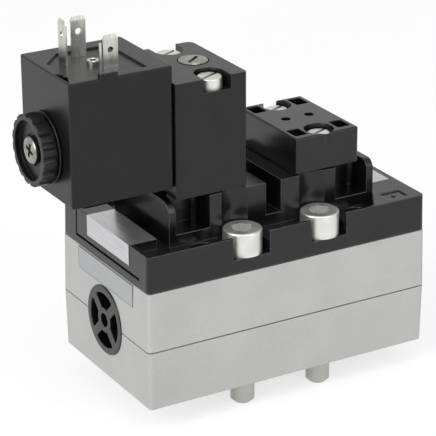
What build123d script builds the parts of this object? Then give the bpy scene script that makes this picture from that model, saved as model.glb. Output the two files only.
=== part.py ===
import os

from build123d import *

# Base-mounted five-port directional control valve with a solenoid pilot.
# Millimetres. The base face lies at z = 0, the spool runs along X, the front faces -Y.

# Castings and cover
BODY_LENGTH = 130.0
BODY_WIDTH = 74.0
LOWER_HEIGHT = 24.75
UPPER_HEIGHT = 24.5
COVER_HEIGHT = 14.95
GASKET = 0.5
GASKET_INSET = 0.7
CORNER_RADIUS = 2.0
CAST_DRAFT = 1.2
EDGE_ROUND = 0.6

# Mounting screws, M10 with socket heads and a thin shank above the threaded end
BOLT_X = 18.0
BOLT_EDGE = 8.0
BOLT_R = 4.9
BOLT_SHANK_R = 4.15
BOLT_STAND_OUT = 10.2
BOLT_THREAD_TOP = -0.3
BOLT_TIP = 1.5
BOLT_HOLE_R = 5.5
BOLT_HEAD_R = 7.9
BOLT_HEAD_HEIGHT = 10.0
BOLT_SOCKET = 8.0
BOLT_SOCKET_DEPTH = 5.0
BOLT_POCKET_R = 8.4
BOLT_POCKET_DEPTH = 9.4

# Spool bore, sleeve and ports
PORT_R = 5.0
PORT_SLOT_DEPTH = 1.6
BORE_R = 13.05
GALLERY_R = 16.0
GALLERY_WIDTH = 7.0
SLEEVE_R = 13.0
SLEEVE_BORE_R = 8.0
SLEEVE_END_LAND = 3.0
RUNNING_FIT = 0.05
SPOOL_WAIST_R = 6.0
SPOOL_STROKE = 5.0
WINDOW_R = 2.5
WINDOWS = 6
RELIEF_R = 9.5
SEAL_LAND = 3.2
INNER_SEAL_R = 1.1
OUTER_SEAL_R = 0.95
PISTON_ROOM = 13.0
PISTON_THICKNESS = 4.0
PISTON_GAP = 3.0
PISTON_STUB_R = 3.0
PISTON_STUB = 8.0
SPRING_BORE_R = 5.5
SPRING_POCKET = 19.0
SPRING_R = 4.4
SPRING_WIRE_R = 0.6
SPRING_TURNS = 6

# Spoked end plugs
PLUG_R = 14.6
PLUG_FIT = 0.05
PLUG_DEPTH = 9.0
PLUG_PROUD = 0.3
PLUG_RIM = 2.9
PLUG_HUB_R = 5.2
PLUG_HOLE_R = 3.0
PLUG_SPOKE = 3.6
PLUG_WINDOW_ROUND = 0.8
PLUG_POCKET = 7.5
PLUG_COLLAR_R = 15.8
PLUG_COLLAR = 2.0
PLUG_SEAL_R = 0.95

# Trough, slots and pads of the cover
TROUGH_DEPTH = 4.3
COVER_WALL = 1.6
PLATEAU_GAP = 4.5
PLATEAU_HALF_WIDTH = 21.0
TROUGH_SLANT = 7.5
TROUGH_ROUND = 1.5
TOWER_RISE = 14.3
TOWER_HALF_LENGTH = 47.5
PAD_MARGIN = 0.5
PLINTH_RISE = 5.0
END_WALL = 3.0
MIDDLE_GAP = 7.0
RIB_OUTER = 29.2
RECESS_DEPTH = 11.0
LEFT_WALL_ROUND = 6.0
RIGHT_WALL_ROUND = 4.0
COVER_SCREW_X = 36.0
COVER_SCREW_EDGE = 8.0
COVER_SCREW_R = 2.0
COVER_SCREW_HEAD_R = 4.2
COVER_SCREW_HEAD = 3.0
COVER_SCREW_RECESS_R = 5.3
COVER_SCREW_RECESS = 3.5
COVER_SCREW_LENGTH = 16.0
COVER_SCREW_RUNOUT = 3.0
GROOVE_WIDTH = 1.3
GROOVE_DEPTH = 1.3
GROOVE_RISE = 3.4
GROOVE_Y = 24.4
GROOVE_END_Y = 28.5
MARK_LENGTH = 9.6
MARK_WIDTH = 7.0
MARK_GAP = 0.9
MARK_EDGE = 1.5

# Pads for the pilot block and the blanking plate
PAD_X = 25.3
PAD_SCREW_Y = 16.25
PAD_SCREW_R = 2.5
PAD_HOLE_R = 2.6
PAD_SCREW_DEPTH = 10.0
PAD_HEAD_R = 5.0
PAD_HEAD_HEIGHT = 4.4
SLOT_WIDTH = 1.5
SLOT_DEPTH = 1.5
PASSAGE_R = 1.5
PASSAGE_OFFSET = 5.5

# Pilot block
PILOT_LEFT = 18.4
PILOT_RIGHT = 13.3
PILOT_FRONT = 22.5
PILOT_REAR = 21.6
PILOT_HEIGHT = 47.5
NOTCH_R = 6.15
NOTCH_DEPTH = 5.7

# Blanking plate
BLANK_LENGTH = 29.6
BLANK_HEIGHT = 15.0
BLANK_RECESS_R = 6.15
BLANK_RECESS_DEPTH = 5.8
BLANK_SHIFT = 0.3
BLANK_HOLE_X = 5.55
BLANK_HOLE_R = 2.0
BLANK_HOLE_DEPTH = 6.0
BLANK_POCKET_X = 10.1
BLANK_POCKET_Y = 15.7
BLANK_POCKET_LENGTH = 5.8
BLANK_POCKET_WIDTH = 7.6
BLANK_POCKET_DEPTH = 8.0

# Manual override
OVERRIDE_SHIFT = 2.0
OVERRIDE_LIFT = 0.02
OVERRIDE_HEAD_R = 5.9
OVERRIDE_RECESS_R = 6.4
OVERRIDE_RECESS_DEPTH = 1.2
OVERRIDE_PROUD = 0.4
OVERRIDE_STEM_R = 4.0
OVERRIDE_SLOT = 1.6
OVERRIDE_SLOT_LENGTH = 8.4
OVERRIDE_SLOT_DEPTH = 1.0
CAM_R = 3.0
CAM_FLAT = 1.5

# Armature, seat and tube
AXIS_RISE = 23.6
TUBE_R = 5.45
TUBE_BORE_R = 4.5
TUBE_FLANGE_R = 8.0
TUBE_FLANGE = 3.0
TUBE_END = 51.6
TUBE_SHOULDER = 46.0
ARMATURE_LENGTH = 33.9
ARMATURE_TRAVEL = 1.0
ARMATURE_PLAY = 0.1
SEAT_GAP = 3.7
PIN_R = 0.9
PIN_OFFSET = 3.5

# Coil
COIL_LENGTH = 43.9
COIL_WIDTH = 42.7
COIL_HEIGHT = 50.0
COIL_GAP = 0.4
COIL_RISE = 5.0
COIL_ROUND = 1.2
BOBBIN_BARREL_R = 7.3
BOBBIN_FLANGE_R = 15.0
BOBBIN_FLANGE = 2.0
WINDING_LENGTH = 30.0
YOKE_THICKNESS = 2.2
YOKE_WIDTH = 28.0
YOKE_RISE = 14.0
BLADE_WIDTH = 6.3
BLADE_THICKNESS = 0.8
BLADE_HOLE_R = 1.3
BLADE_ROOT = 7.0
BLADE_CORNER = 0.7
FRONT_BLADE = (1.75, -9.0)
REAR_BLADE = (-2.75, 9.0)
EARTH_BLADE = (-11.95, 3.5)
FRONT_BLADE_RISE = 12.3
REAR_BLADE_RISE = 15.5
EARTH_BLADE_RISE = 17.0
LUG_OFFSET = 4.3
LUG_RISE = 9.5
INSERT_OFFSET = (-2.05, -2.0)
INSERT_R = 2.5
INSERT_BORE_R = 1.25
INSERT_DEPTH = 6.0
INSERT_PROUD = 1.0
CONTACT_RECESS = 0.8
RECESS_LEFT = 3.5
RECESS_RIGHT = 8.9
RECESS_FRONT = 3.85
RECESS_REAR = 6.85
FRONT_CORNER = (4.5, 5.0)
REAR_CORNER = (9.0, 9.5)
TAB_OFFSET = -5.2
TAB_LENGTH = 7.5
TAB_DEPTH = 2.2
TAB_RISE = 1.8

# Coil nut
NUT_R = 14.3
NUT_LENGTH = 7.3
NUT_BORE_R = 5.52
NUT_FLANGE = 0.7
NUT_GROOVE = 1.2
NUT_FLUTES = 16
NUT_FLUTE_R = 1.9
NUT_DISH_R = 12.2
NUT_DISH_DEPTH = 2.3
NUT_MOUTH_R = 6.4
NUT_SEAL = 0.6

# Labels
LABEL_THICKNESS = 0.15
FOLDED_LABEL_GAP = 0.2
FOLDED_LABEL_EDGE = 0.5
FOLDED_LABEL_Y = (-21.0, 14.5)
FOLDED_LABEL_DROP = 8.7
COVER_LABEL_MARGIN = 3.0
COVER_LABEL_Y = (-14.5, 20.0)
BODY_LABEL_Y = (-24.0, 22.5)
BODY_LABEL_HEIGHT = 9.4
BODY_LABEL_MARGIN = 0.45

# Levels and places that follow from the sizes above
BORE_Z = LOWER_HEIGHT + GASKET / 2
UPPER_BOTTOM = LOWER_HEIGHT + GASKET
UPPER_TOP = UPPER_BOTTOM + UPPER_HEIGHT
COVER_BOTTOM = UPPER_TOP + GASKET
COVER_TOP = COVER_BOTTOM + COVER_HEIGHT
TROUGH_FLOOR = COVER_TOP - TROUGH_DEPTH
BOLT_SEAT = COVER_TOP - BOLT_POCKET_DEPTH
SCREW_SEAT = TROUGH_FLOOR - COVER_SCREW_RECESS
PAD_TOP = COVER_TOP + TOWER_RISE
BLOCK_BOTTOM = PAD_TOP + GASKET
PILOT_TOP = BLOCK_BOTTOM + PILOT_HEIGHT
BLANK_TOP = BLOCK_BOTTOM + BLANK_HEIGHT
AXIS_Z = BLOCK_BOTTOM + AXIS_RISE
PILOT_X_MIN = -PAD_X - PILOT_LEFT
PILOT_X_MAX = -PAD_X + PILOT_RIGHT
COIL_X_MAX = PILOT_X_MIN - COIL_GAP
COIL_X_MIN = COIL_X_MAX - COIL_LENGTH
COIL_X = (COIL_X_MIN + COIL_X_MAX) / 2
COIL_BOTTOM = BLOCK_BOTTOM + COIL_RISE
COIL_TOP = COIL_BOTTOM + COIL_HEIGHT
HALF_LENGTH = BODY_LENGTH / 2
HALF_WIDTH = BODY_WIDTH / 2
BOLT_Y = HALF_WIDTH - BOLT_EDGE
COVER_SCREW_Y = HALF_WIDTH - COVER_SCREW_EDGE
TOWER_HALF_WIDTH = PILOT_FRONT + PAD_MARGIN
PLATEAU_END = TOWER_HALF_LENGTH + PLATEAU_GAP
PLUG_INNER = HALF_LENGTH - PLUG_DEPTH
SLEEVE_HALF = PLUG_INNER - PISTON_ROOM
PORT_PITCH = (SLEEVE_HALF - SLEEVE_END_LAND) / 2.5
PORT_PLACES = [index * PORT_PITCH for index in (-2, -1, 0, 1, 2)]
SEAL_PLACES = [(index + 0.5) * PORT_PITCH for index in (-3, -2, -1, 0, 1, 2)]
PISTON_X = -PLUG_INNER + PISTON_GAP
SPOOL_LEFT = PISTON_X + PISTON_THICKNESS
SPOOL_RIGHT = SLEEVE_HALF + 1.0
SPRING_SEAT_X = SPOOL_RIGHT - SPRING_POCKET
PASSAGE_X = PLUG_INNER - PASSAGE_R - 0.3
OVERRIDE_X = -PAD_X + OVERRIDE_SHIFT
OVERRIDE_TOP = PILOT_TOP + OVERRIDE_PROUD
INSERT_PLACE = (COIL_X + INSERT_OFFSET[0], INSERT_OFFSET[1])
TUBE_MOUTH = PILOT_X_MIN + TUBE_FLANGE
ARMATURE_TIP = TUBE_MOUTH + SEAT_GAP
ARMATURE_TAIL = ARMATURE_TIP - ARMATURE_LENGTH
CORE_FACE = ARMATURE_TAIL - ARMATURE_TRAVEL - ARMATURE_PLAY
TUBE_TIP = PILOT_X_MIN - TUBE_END
TUBE_STEP = PILOT_X_MIN - TUBE_SHOULDER
NUT_BACK = COIL_X_MIN - NUT_SEAL
NUT_FRONT = NUT_BACK - NUT_LENGTH


def along_x(x, z):
    """Plane square to the X axis, its centre on the middle plane at height z."""
    return Plane((x, 0, z), x_dir=(0, 1, 0), z_dir=(1, 0, 0))


def four(x, y):
    """The four corners of a rectangle of half sizes x and y."""
    return [(sx * x, sy * y) for sx in (-1, 1) for sy in (-1, 1)]


def cut_round(x_from, x_to, z, radius):
    """Cut a round hole along X from one place to the other."""
    with BuildSketch(along_x(x_from, z)) as disc:
        Circle(radius)
    extrude(disc.sketch, amount=x_to - x_from, mode=Mode.SUBTRACT)


def add_round(x_from, x_to, z, radius):
    """Add a round bar along X from one place to the other."""
    with BuildSketch(along_x(x_from, z)) as disc:
        Circle(radius)
    extrude(disc.sketch, amount=x_to - x_from)


def cut_upright(places, z_from, z_to, radius):
    """Cut upright round holes at the given places between two heights."""
    with BuildSketch(Plane.XY.offset(z_from)) as discs:
        with Locations(*places):
            Circle(radius)
    extrude(discs.sketch, amount=z_to - z_from, mode=Mode.SUBTRACT)


def cut_spool_bore():
    """Cut the spool bore with its end seats and the gallery of each port."""
    cut_round(-HALF_LENGTH - 1, HALF_LENGTH + 1, BORE_Z, BORE_R)
    cut_round(-HALF_LENGTH - 1, -PLUG_INNER, BORE_Z, PLUG_R + PLUG_FIT)
    cut_round(PLUG_INNER, HALF_LENGTH + 1, BORE_Z, PLUG_R + PLUG_FIT)
    for end in (-1, 1):
        collar = end * (PLUG_INNER + PLUG_DEPTH / 2 + PLUG_COLLAR / 2)
        cut_round(collar, collar - end * PLUG_COLLAR, BORE_Z, PLUG_COLLAR_R + PLUG_FIT)
    for port in PORT_PLACES:
        cut_round(port - GALLERY_WIDTH / 2, port + GALLERY_WIDTH / 2, BORE_Z, GALLERY_R)


def cut_straight(start, end, radius):
    """Cut a round hole from one point in space to another."""
    way = Vector(*end) - Vector(*start)
    with BuildSketch(Plane(start, z_dir=way)) as disc:
        Circle(radius)
    extrude(disc.sketch, amount=way.length, mode=Mode.SUBTRACT)


def finish(piece, name):
    """Label a finished piece and write it."""
    piece.part.label = name
    export_step(piece.part, f"parts/{name}.step")
    print(name, len(piece.part.solids()), "solids")


os.makedirs("parts", exist_ok=True)

# Lower casting: drafted block with the lower half of the bore and the five ports
BASE_GASKET_LENGTH = 4 * PORT_PITCH + 2 * PORT_R + 10.0
BASE_GASKET_WIDTH = 2 * PORT_R + 12.0
BASE_GASKET_THICKNESS = 1.5
with BuildPart() as lower_body:
    with BuildSketch(Plane((0, 0, LOWER_HEIGHT), z_dir=(0, 0, -1))):
        RectangleRounded(BODY_LENGTH, BODY_WIDTH, CORNER_RADIUS)
    extrude(amount=LOWER_HEIGHT, taper=CAST_DRAFT)
    fillet(lower_body.faces().sort_by(Axis.Z)[0].edges(), EDGE_ROUND)
    cut_spool_bore()
    cut_upright(four(BOLT_X, BOLT_Y), -1, LOWER_HEIGHT + 1, BOLT_HOLE_R)
    cut_upright([(port, 0) for port in PORT_PLACES], -1, BORE_Z, PORT_R)
    with BuildSketch(Plane.XY):
        RectangleRounded(BASE_GASKET_LENGTH, BASE_GASKET_WIDTH, 3)
    extrude(amount=BASE_GASKET_THICKNESS, mode=Mode.SUBTRACT)
finish(lower_body, "lower_body")

# Base gasket: flat ring plate in its pocket, one hole for each port
with BuildPart() as base_gasket:
    with BuildSketch(Plane.XY):
        RectangleRounded(BASE_GASKET_LENGTH, BASE_GASKET_WIDTH, 3)
        with Locations(*[(port, 0) for port in PORT_PLACES]):
            Circle(PORT_R, mode=Mode.SUBTRACT)
    extrude(amount=BASE_GASKET_THICKNESS)
finish(base_gasket, "base_gasket")

# Gasket between the castings: open over the bore
with BuildPart() as body_gasket:
    with BuildSketch(Plane.XY.offset(LOWER_HEIGHT)):
        RectangleRounded(BODY_LENGTH - 2 * GASKET_INSET, BODY_WIDTH - 2 * GASKET_INSET, CORNER_RADIUS)
        with Locations(*four(BOLT_X, BOLT_Y)):
            Circle(BOLT_HOLE_R, mode=Mode.SUBTRACT)
    extrude(amount=GASKET)
    cut_spool_bore()
finish(body_gasket, "body_gasket")

# Upper casting: the other half of the bore, screw threads and two pilot passages
with BuildPart() as upper_body:
    with BuildSketch(Plane.XY.offset(UPPER_BOTTOM)):
        RectangleRounded(BODY_LENGTH, BODY_WIDTH, CORNER_RADIUS)
    extrude(amount=UPPER_HEIGHT, taper=CAST_DRAFT)
    cut_spool_bore()
    cut_upright(four(BOLT_X, BOLT_Y), UPPER_BOTTOM - 1, UPPER_TOP + 1, BOLT_HOLE_R)
    cut_upright(four(COVER_SCREW_X, COVER_SCREW_Y), SCREW_SEAT - COVER_SCREW_LENGTH - COVER_SCREW_RUNOUT,
                UPPER_TOP + 1, COVER_SCREW_R)
    cut_upright([(-PASSAGE_X, 0), (0, 0), (PASSAGE_X, 0)], BORE_Z, UPPER_TOP + 1, PASSAGE_R)
finish(upper_body, "upper_body")

# Outline of the casting's top face, which the cover and its gasket follow
TOP_INSET = UPPER_HEIGHT * 0.021
TOP_LENGTH = BODY_LENGTH - 2 * TOP_INSET
TOP_WIDTH = BODY_WIDTH - 2 * TOP_INSET

# Gasket between the upper casting and the cover
with BuildPart() as cover_gasket:
    with BuildSketch(Plane.XY.offset(UPPER_TOP)):
        RectangleRounded(TOP_LENGTH - 2 * GASKET_INSET, TOP_WIDTH - 2 * GASKET_INSET, CORNER_RADIUS)
        with Locations(*four(BOLT_X, BOLT_Y)):
            Circle(BOLT_HOLE_R, mode=Mode.SUBTRACT)
        with Locations(*four(COVER_SCREW_X, COVER_SCREW_Y)):
            Circle(COVER_SCREW_R + 0.2, mode=Mode.SUBTRACT)
        with Locations((-PASSAGE_X, 0), (0, 0), (PASSAGE_X, 0)):
            Circle(PASSAGE_R, mode=Mode.SUBTRACT)
    extrude(amount=GASKET)
finish(cover_gasket, "cover_gasket")

# Top cover: moulded tray with a trough on each side and a raised block with ribs
TROUGH_FRONT = TOP_WIDTH / 2 - COVER_WALL
TROUGH_END = TOP_LENGTH / 2 - COVER_WALL
PLINTH_TOP = TROUGH_FLOOR + PLINTH_RISE
RECESS_END = TOWER_HALF_LENGTH - END_WALL
with BuildPart() as top_cover:
    with BuildSketch(Plane.XY.offset(COVER_BOTTOM)):
        RectangleRounded(TOP_LENGTH, TOP_WIDTH, CORNER_RADIUS)
    extrude(amount=COVER_HEIGHT, taper=CAST_DRAFT)
    # Troughs in front of and behind the raised block
    for side in (-1, 1):
        with BuildSketch(Plane.XY.offset(TROUGH_FLOOR)) as trough:
            with BuildLine():
                Polyline(
                    (-TOWER_HALF_LENGTH, side * TOWER_HALF_WIDTH),
                    (TOWER_HALF_LENGTH, side * TOWER_HALF_WIDTH),
                    (TOWER_HALF_LENGTH - TROUGH_SLANT, side * TROUGH_FRONT),
                    (-TROUGH_END, side * TROUGH_FRONT),
                    (-TROUGH_END, side * PLATEAU_HALF_WIDTH),
                    (-TOWER_HALF_LENGTH, side * PLATEAU_HALF_WIDTH),
                    close=True,
                )
            make_face()
            fillet(trough.vertices().sort_by(Axis.X)[:2], TROUGH_ROUND)
            fillet(trough.vertices().sort_by(Axis.X)[-2], TROUGH_ROUND)
        extrude(amount=TROUGH_DEPTH + 1, mode=Mode.SUBTRACT)
    # Gap between the label plateau and the raised block, at the left end
    with BuildSketch(Plane.XY.offset(TROUGH_FLOOR)):
        with Locations((-(PLATEAU_END + TOWER_HALF_LENGTH) / 2, 0)):
            Rectangle(PLATEAU_END - TOWER_HALF_LENGTH, 2 * TOWER_HALF_WIDTH)
    extrude(amount=TROUGH_DEPTH + 1, mode=Mode.SUBTRACT)
    # Raised block
    with BuildSketch(Plane.XY.offset(COVER_BOTTOM)):
        Rectangle(2 * TOWER_HALF_LENGTH, 2 * TOWER_HALF_WIDTH)
    extrude(amount=PAD_TOP - COVER_BOTTOM)
    # Recesses that leave the ribs standing, and the gap between the two pads
    for sx, sy in four(1, 1):
        with BuildSketch(Plane.XY.offset(PLINTH_TOP)):
            with Locations((sx * (RIB_OUTER + RECESS_END) / 2, sy * TOWER_HALF_WIDTH)):
                RectangleRounded(RECESS_END - RIB_OUTER, 2 * RECESS_DEPTH, 2.5)
        extrude(amount=PAD_TOP - PLINTH_TOP + 1, mode=Mode.SUBTRACT)
    with BuildSketch(Plane.XY.offset(PLINTH_TOP)):
        Rectangle(MIDDLE_GAP, 2 * TOWER_HALF_WIDTH + 2)
    extrude(amount=PAD_TOP - PLINTH_TOP + 1, mode=Mode.SUBTRACT)
    # Round pockets for the mounting screws, open to the front and rear walls
    for sx, sy in four(1, 1):
        with BuildSketch(Plane.XY.offset(BOLT_SEAT)):
            with Locations((sx * BOLT_X, sy * BOLT_Y)):
                Circle(BOLT_POCKET_R)
            with Locations((sx * BOLT_X, sy * (BOLT_Y + HALF_WIDTH / 2))):
                Rectangle(2 * BOLT_POCKET_R, HALF_WIDTH)
        extrude(amount=PAD_TOP - BOLT_SEAT + 1, mode=Mode.SUBTRACT)
    cut_upright(four(BOLT_X, BOLT_Y), COVER_BOTTOM - 1, BOLT_SEAT + 1, BOLT_HOLE_R)
    # Recesses and holes for the cover screws
    cut_upright(four(COVER_SCREW_X, COVER_SCREW_Y), SCREW_SEAT, TROUGH_FLOOR + 1, COVER_SCREW_RECESS_R)
    cut_upright(four(COVER_SCREW_X, COVER_SCREW_Y), COVER_BOTTOM - 1, TROUGH_FLOOR, COVER_SCREW_R + 0.2)
    # Threads for the pad screws, and the passages of each pad
    cut_upright(four(PAD_X, PAD_SCREW_Y), PAD_TOP - PAD_SCREW_DEPTH - 1, PAD_TOP + 1, PAD_SCREW_R)
    for sx in (-1, 1):
        pad_inner = sx * (PAD_X - PASSAGE_OFFSET)
        pad_outer = sx * (PAD_X + PASSAGE_OFFSET)
        cut_upright([(pad_inner, 0), (pad_outer, 0)], COVER_BOTTOM - 1, PAD_TOP + 1, PASSAGE_R)
        with BuildSketch(Plane.XY.offset(COVER_BOTTOM)):
            with Locations(((sx * PASSAGE_X + pad_outer) / 2, 0)):
                SlotOverall(abs(sx * PASSAGE_X - pad_outer) + 2 * PASSAGE_R, 2 * PASSAGE_R)
            with Locations((pad_inner / 2, 0)):
                SlotOverall(abs(pad_inner) + 2 * PASSAGE_R, 2 * PASSAGE_R)
        extrude(amount=2 * PASSAGE_R, mode=Mode.SUBTRACT)
    # Moulded groove on each end face
    for sx in (-1, 1):
        with BuildSketch(along_x(sx * TOP_LENGTH / 2, COVER_BOTTOM)):
            with Locations(((GROOVE_Y - GROOVE_END_Y) / 2, GROOVE_RISE)):
                Rectangle(GROOVE_Y + GROOVE_END_Y + GROOVE_WIDTH, GROOVE_WIDTH)
            with Locations((GROOVE_Y, GROOVE_RISE + COVER_HEIGHT / 2)):
                Rectangle(GROOVE_WIDTH, COVER_HEIGHT)
        extrude(amount=GROOVE_DEPTH, both=True, mode=Mode.SUBTRACT)
    # Shallow square mark near the front of the right end
    with BuildSketch(Plane.XY.offset(COVER_TOP - 0.5)):
        with Locations((TOWER_HALF_LENGTH + MARK_GAP + MARK_LENGTH / 2,
                        -TROUGH_FRONT + MARK_EDGE + MARK_WIDTH / 2)):
            Rectangle(MARK_LENGTH, MARK_WIDTH)
            Circle(0.8, mode=Mode.SUBTRACT)
    extrude(amount=1, mode=Mode.SUBTRACT)
    # Rounded front and rear corners of the raised block's end walls
    for sx, radius in ((-1, LEFT_WALL_ROUND), (1, RIGHT_WALL_ROUND)):
        wall = top_cover.edges().filter_by(Axis.X).group_by(Axis.Z)[-1]
        wall = wall.filter_by(lambda edge: sx * edge.center().X > RECESS_END)
        wall = wall.filter_by(lambda edge: abs(edge.center().Y) > TOWER_HALF_WIDTH - 0.1)
        fillet(wall, radius)
finish(top_cover, "top_cover")

# Mounting screws: socket head, thin shank, threaded end with a bevelled tip; the four share one file
with BuildPart() as mounting_screws:
    with BuildSketch(Plane.XY.offset(BOLT_SEAT)):
        with Locations(*four(BOLT_X, BOLT_Y)):
            Circle(BOLT_HEAD_R)
    extrude(amount=BOLT_HEAD_HEIGHT)
    fillet(mounting_screws.edges().group_by(Axis.Z)[-1], 0.8)
    with BuildSketch(Plane.XY.offset(BOLT_SEAT)):
        with Locations(*four(BOLT_X, BOLT_Y)):
            Circle(BOLT_SHANK_R)
    extrude(amount=BOLT_THREAD_TOP - BOLT_SEAT)
    with BuildSketch(Plane.XY.offset(BOLT_THREAD_TOP)):
        with Locations(*four(BOLT_X, BOLT_Y)):
            Circle(BOLT_R)
    extrude(amount=-BOLT_STAND_OUT - BOLT_THREAD_TOP)
    chamfer(mounting_screws.edges().group_by(Axis.Z)[0], BOLT_TIP)
    with BuildSketch(Plane.XY.offset(BOLT_SEAT + BOLT_HEAD_HEIGHT)):
        with Locations(*four(BOLT_X, BOLT_Y)):
            RegularPolygon(BOLT_SOCKET / 2, 6, major_radius=False, rotation=12)
    extrude(amount=-BOLT_SOCKET_DEPTH, mode=Mode.SUBTRACT)
finish(mounting_screws, "mounting_screws")

# Cover screws: low round heads with a cross slot, in their recesses
with BuildPart() as cover_screws:
    with BuildSketch(Plane.XY.offset(SCREW_SEAT)):
        with Locations(*four(COVER_SCREW_X, COVER_SCREW_Y)):
            Circle(COVER_SCREW_HEAD_R)
    extrude(amount=COVER_SCREW_HEAD)
    fillet(cover_screws.edges().group_by(Axis.Z)[-1], 1.4)
    with BuildSketch(Plane.XY.offset(SCREW_SEAT)):
        with Locations(*four(COVER_SCREW_X, COVER_SCREW_Y)):
            Circle(COVER_SCREW_R)
    extrude(amount=-COVER_SCREW_LENGTH)
    chamfer(cover_screws.edges().group_by(Axis.Z)[0], 0.5)
    with BuildSketch(Plane.XY.offset(SCREW_SEAT + COVER_SCREW_HEAD)):
        with Locations(*four(COVER_SCREW_X, COVER_SCREW_Y)):
            Rectangle(4.6, 1.1, rotation=30)
            Rectangle(1.1, 4.6, rotation=30)
    extrude(amount=-1.8, mode=Mode.SUBTRACT)
finish(cover_screws, "cover_screws")

# Spoked end plugs: windows between four spokes, collar held between the castings
PLUG_FACE = HALF_LENGTH + PLUG_PROUD
COLLAR_FROM = PLUG_INNER + PLUG_DEPTH / 2 - PLUG_COLLAR / 2
SEAL_FROM = PLUG_INNER + 0.9
for sx, name in ((-1, "end_plug_left"), (1, "end_plug_right")):
    with BuildPart() as end_plug:
        add_round(sx * PLUG_INNER, sx * PLUG_FACE, BORE_Z, PLUG_R)
        fillet(end_plug.edges().filter_by(GeomType.CIRCLE).sort_by(Axis.X)[-1 if sx > 0 else 0], 0.5)
        add_round(sx * COLLAR_FROM, sx * (COLLAR_FROM + PLUG_COLLAR), BORE_Z, PLUG_COLLAR_R)
        with BuildSketch(along_x(sx * PLUG_FACE, BORE_Z)) as windows:
            Circle(PLUG_R - PLUG_RIM)
            Circle(PLUG_HUB_R, mode=Mode.SUBTRACT)
            Rectangle(2 * PLUG_R, PLUG_SPOKE, rotation=45, mode=Mode.SUBTRACT)
            Rectangle(2 * PLUG_R, PLUG_SPOKE, rotation=-45, mode=Mode.SUBTRACT)
            fillet(windows.vertices(), PLUG_WINDOW_ROUND)
        extrude(amount=-sx * PLUG_POCKET, mode=Mode.SUBTRACT)
        with BuildSketch(along_x(sx * PLUG_FACE, BORE_Z)):
            Circle(PLUG_HOLE_R)
        extrude(amount=-sx * PLUG_POCKET, mode=Mode.SUBTRACT)
        with BuildSketch(along_x(sx * SEAL_FROM, BORE_Z)):
            Circle(PLUG_R + 1)
            Circle(PLUG_R - 2 * PLUG_SEAL_R, mode=Mode.SUBTRACT)
        extrude(amount=sx * 2 * PLUG_SEAL_R, mode=Mode.SUBTRACT)
    finish(end_plug, name)

# Seals of the two end plugs
with BuildPart() as plug_seals:
    for sx in (-1, 1):
        with BuildSketch(Plane.XZ):
            with Locations((sx * (SEAL_FROM + PLUG_SEAL_R), BORE_Z + PLUG_R - PLUG_SEAL_R)):
                Circle(PLUG_SEAL_R)
        revolve(axis=Axis((0, 0, BORE_Z), (1, 0, 0)))
finish(plug_seals, "plug_seals")

# Sleeve: relieved between its seal lands, one row of windows for each port
with BuildPart() as valve_sleeve:
    add_round(-SLEEVE_HALF, SLEEVE_HALF, BORE_Z, SLEEVE_R)
    cut_round(-SLEEVE_HALF, SLEEVE_HALF, BORE_Z, SLEEVE_BORE_R)
    for port in PORT_PLACES:
        half_relief = (PORT_PITCH - SEAL_LAND) / 2
        cut_round(port - half_relief, port + half_relief, BORE_Z, RELIEF_R)
        with BuildSketch(along_x(port - GALLERY_WIDTH / 2, BORE_Z)):
            Circle(SLEEVE_R + 1)
            Circle(SLEEVE_R - PORT_SLOT_DEPTH, mode=Mode.SUBTRACT)
        extrude(amount=GALLERY_WIDTH, mode=Mode.SUBTRACT)
        for turn in range(WINDOWS // 2):
            with BuildSketch(Plane.XY.offset(BORE_Z).rotated((turn * 360 / WINDOWS, 0, 0))):
                with Locations((port, 0)):
                    Circle(WINDOW_R)
            extrude(amount=SLEEVE_R + 1, both=True, mode=Mode.SUBTRACT)
    for place in SEAL_PLACES:
        with BuildSketch(along_x(place - INNER_SEAL_R, BORE_Z)):
            Circle(SLEEVE_BORE_R + 2 * INNER_SEAL_R)
        extrude(amount=2 * INNER_SEAL_R, mode=Mode.SUBTRACT)
        with BuildSketch(along_x(place - OUTER_SEAL_R, BORE_Z)):
            Circle(SLEEVE_R + 1)
            Circle(SLEEVE_R - 2 * OUTER_SEAL_R, mode=Mode.SUBTRACT)
        extrude(amount=2 * OUTER_SEAL_R, mode=Mode.SUBTRACT)
finish(valve_sleeve, "valve_sleeve")

# Seals inside and outside the sleeve
with BuildPart() as inner_seals:
    for place in SEAL_PLACES:
        with BuildSketch(Plane.XZ):
            with Locations((place, BORE_Z + SLEEVE_BORE_R + INNER_SEAL_R)):
                Circle(INNER_SEAL_R)
        revolve(axis=Axis((0, 0, BORE_Z), (1, 0, 0)))
finish(inner_seals, "inner_seals")
with BuildPart() as outer_seals:
    for place in SEAL_PLACES:
        with BuildSketch(Plane.XZ):
            with Locations((place, BORE_Z + SLEEVE_R - OUTER_SEAL_R)):
                Circle(OUTER_SEAL_R)
        revolve(axis=Axis((0, 0, BORE_Z), (1, 0, 0)))
finish(outer_seals, "outer_seals")

# Spool: two waists, each passing under the next seal when it shifts
SPOOL_R = SLEEVE_BORE_R - RUNNING_FIT
WAIST_FROM = SEAL_PLACES[1] - 2.5
WAIST_TO = SEAL_PLACES[2] - 2.5
with BuildPart() as spool:
    add_round(SPOOL_LEFT, SPOOL_RIGHT, BORE_Z, SPOOL_R)
    chamfer(spool.edges().filter_by(GeomType.CIRCLE), 0.5)
    for shift in (0, 2 * PORT_PITCH):
        with BuildSketch(along_x(WAIST_FROM + shift, BORE_Z)):
            Circle(SPOOL_R + 1)
            Circle(SPOOL_WAIST_R, mode=Mode.SUBTRACT)
        extrude(amount=WAIST_TO - WAIST_FROM, mode=Mode.SUBTRACT)
    cut_round(SPOOL_LEFT, SPOOL_LEFT + PISTON_STUB, BORE_Z, PISTON_STUB_R)
    cut_round(SPRING_SEAT_X, SPOOL_RIGHT, BORE_Z, SPRING_BORE_R)
finish(spool, "spool")

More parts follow.
